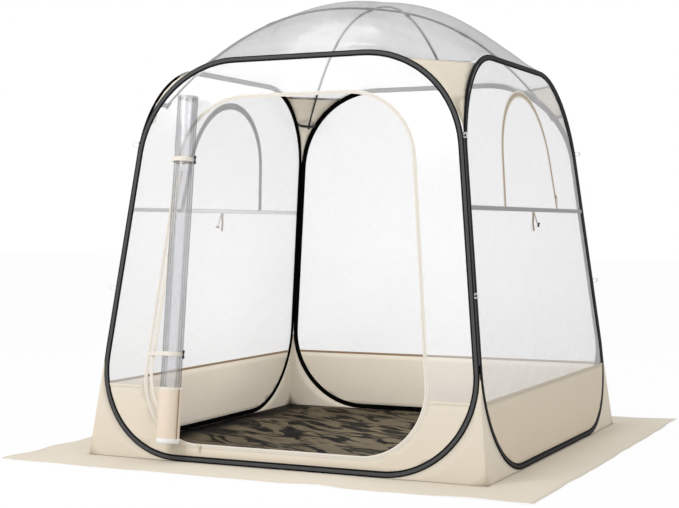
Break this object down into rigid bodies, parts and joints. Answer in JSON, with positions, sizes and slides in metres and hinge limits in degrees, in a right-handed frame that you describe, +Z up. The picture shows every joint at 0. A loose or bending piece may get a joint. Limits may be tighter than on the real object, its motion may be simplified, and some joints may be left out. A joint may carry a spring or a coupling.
{
  "type": "bubble tent",
  "caption": "Clear-walled pop-up tent with sprung hoop walls, domed film roof on crossed poles, rolled-up door leaf, arched zip windows, fabric lower bands and a ground skirt.",
  "frame": {"origin": "on the ground under the middle of the tent", "axes": "+Z up, -Y out of the door, +X to the right of someone who looks at the door from outside"},
  "size_m": [2.584, 2.679, 2.2212],
  "materials": {
    "sleeve": "black woven tape",
    "spring_wire": "drawn spring steel",
    "clear_film": "glossy transparent film",
    "beige_fabric": "coated matt cloth",
    "cream_binding": "woven zip tape",
    "leaf_fabric": "coated matt cloth",
    "grey_tape": "woven tape",
    "ground_cloth": "coated sheet with a sheen",
    "pole": "smooth fibreglass",
    "black_webbing": "woven webbing",
    "guy_loop": "woven tape",
    "black_plastic": "moulded",
    "zip_slider": "lacquered casting"
  },
  "bodies": {
    "tent": {"hoop_sleeve_front": "sleeve", "hoop_wire_front": "spring_wire", "wall_film_front": "clear_film", "lower_band_front": "beige_fabric", "hoop_sleeve_right": "sleeve", "hoop_wire_right": "spring_wire", "wall_film_right": "clear_film", "lower_band_right": "beige_fabric", "hoop_sleeve_back": "sleeve", "hoop_wire_back": "spring_wire", "wall_film_back": "clear_film", "lower_band_back": "beige_fabric", "hoop_sleeve_left": "sleeve", "hoop_wire_left": "spring_wire", "wall_film_left": "clear_film", "lower_band_left": "beige_fabric", "lower_gusset_front_right": "beige_fabric", "upper_gusset_front_right": "beige_fabric", "pole_pocket_front_right": "black_webbing", "corner_binding_front_right": "guy_loop", "lower_gusset_back_right": "beige_fabric", "upper_gusset_back_right": "beige_fabric", "pole_pocket_back_right": "black_webbing", "corner_binding_back_right": "guy_loop", "lower_gusset_back_left": "beige_fabric", "upper_gusset_back_left": "beige_fabric", "pole_pocket_back_left": "black_webbing", "corner_binding_back_left": "guy_loop", "lower_gusset_front_left": "beige_fabric", "upper_gusset_front_left": "beige_fabric", "pole_pocket_front_left": "black_webbing", "corner_binding_front_left": "guy_loop", "ground_skirt": "beige_fabric", "floor_sheet": "ground_cloth", "roof_pole_lower": "pole", "roof_pole_upper": "pole", "roof_dome": "clear_film", "door_binding": "cream_binding", "window_tape_left": "grey_tape", "window_zip_left": "cream_binding", "window_tie_left": "leaf_fabric", "window_tape_right": "grey_tape", "window_zip_right": "cream_binding", "window_tie_right": "leaf_fabric"},
    "door_roll": {"door_roll_film": "clear_film", "door_roll_fabric": "leaf_fabric", "door_tie_lower": "cream_binding", "door_tie_upper": "cream_binding", "door_toggle_lower": "black_plastic", "door_toggle_upper": "black_plastic"},
    "door_slider": {"door_zip_slider": "zip_slider"},
    "window_flap_left": {"window_flap_left": "clear_film", "window_flap_border_left": "cream_binding"},
    "window_slider_left": {"window_zip_slider_left": "zip_slider"},
    "window_toggle_left": {"window_toggle_left": "black_plastic"},
    "window_flap_right": {"window_flap_right": "clear_film", "window_flap_border_right": "cream_binding"},
    "window_slider_right": {"window_zip_slider_right": "zip_slider"},
    "window_toggle_right": {"window_toggle_right": "black_plastic"}
  },
  "joints": [
    {"name": "door_roll_swing", "type": "hinge", "parent": "tent", "child": "door_roll", "pos_m": [-0.69809, -0.99084, 0.49018], "axis": [-0.1042, -0.1172, -0.9876], "range_deg": [0, 20]},
    {"name": "door_zip_slide", "type": "slide", "parent": "tent", "child": "door_slider", "axis": [1, 0, 0], "range_m": [0, 0.79]},
    {"name": "window_flap_left_swing", "type": "hinge", "parent": "tent", "child": "window_flap_left", "pos_m": [-0.86864, 0, 1.17836], "axis": [0, -1, 0], "range_deg": [0, 160]},
    {"name": "window_zip_left_slide", "type": "slide", "parent": "tent", "child": "window_slider_left", "axis": [0.1122, 0.1736, 0.9784], "range_m": [0, 0.15]},
    {"name": "window_toggle_left_swing", "type": "hinge", "parent": "tent", "child": "window_toggle_left", "pos_m": [-0.86857, -0.013, 1.15792], "axis": [0, 1, 0], "range_deg": [0, 18]},
    {"name": "window_flap_right_swing", "type": "hinge", "parent": "tent", "child": "window_flap_right", "pos_m": [0.86864, 0, 1.17836], "axis": [0, 1, 0], "range_deg": [0, 160]},
    {"name": "window_zip_right_slide", "type": "slide", "parent": "tent", "child": "window_slider_right", "axis": [-0.1122, -0.1736, 0.9784], "range_m": [0, 0.15]},
    {"name": "window_toggle_right_swing", "type": "hinge", "parent": "tent", "child": "window_toggle_right", "pos_m": [0.86857, 0.013, 1.15792], "axis": [0, -1, 0], "range_deg": [0, 18]}
  ]
}
